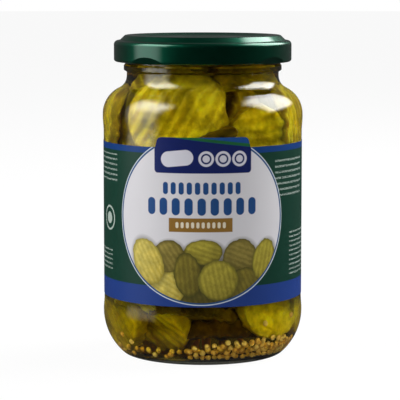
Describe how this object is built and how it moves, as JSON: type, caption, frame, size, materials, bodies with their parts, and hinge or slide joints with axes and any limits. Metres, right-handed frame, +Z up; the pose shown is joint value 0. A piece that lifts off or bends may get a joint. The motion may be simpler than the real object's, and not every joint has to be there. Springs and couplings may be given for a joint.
{
  "type": "pickle jar",
  "caption": "Round clear glass jar of crinkle-cut pickled cucumber slices in brine over mustard seeds, with a green twist-off metal lid and a wrap-around paper label with a rounded tab.",
  "frame": {"origin": "centre of the foot ring's plane, under the middle of the jar", "axes": "+Z up along the jar's axis, the label and its tab face -Y, +X to the right seen from the front"},
  "size_m": [0.0746, 0.0746, 0.1191],
  "materials": {
    "clear_glass": "gloss",
    "green_lacquer": "gloss",
    "printed_paper": "satin",
    "pickle_brine": "gloss",
    "pickle_slices": "gloss",
    "mustard_seeds": "satin"
  },
  "bodies": {
    "root": {"glass_jar": "clear_glass", "lid": "green_lacquer", "label": "printed_paper", "brine": "pickle_brine"}
  },
  "joints": []
}
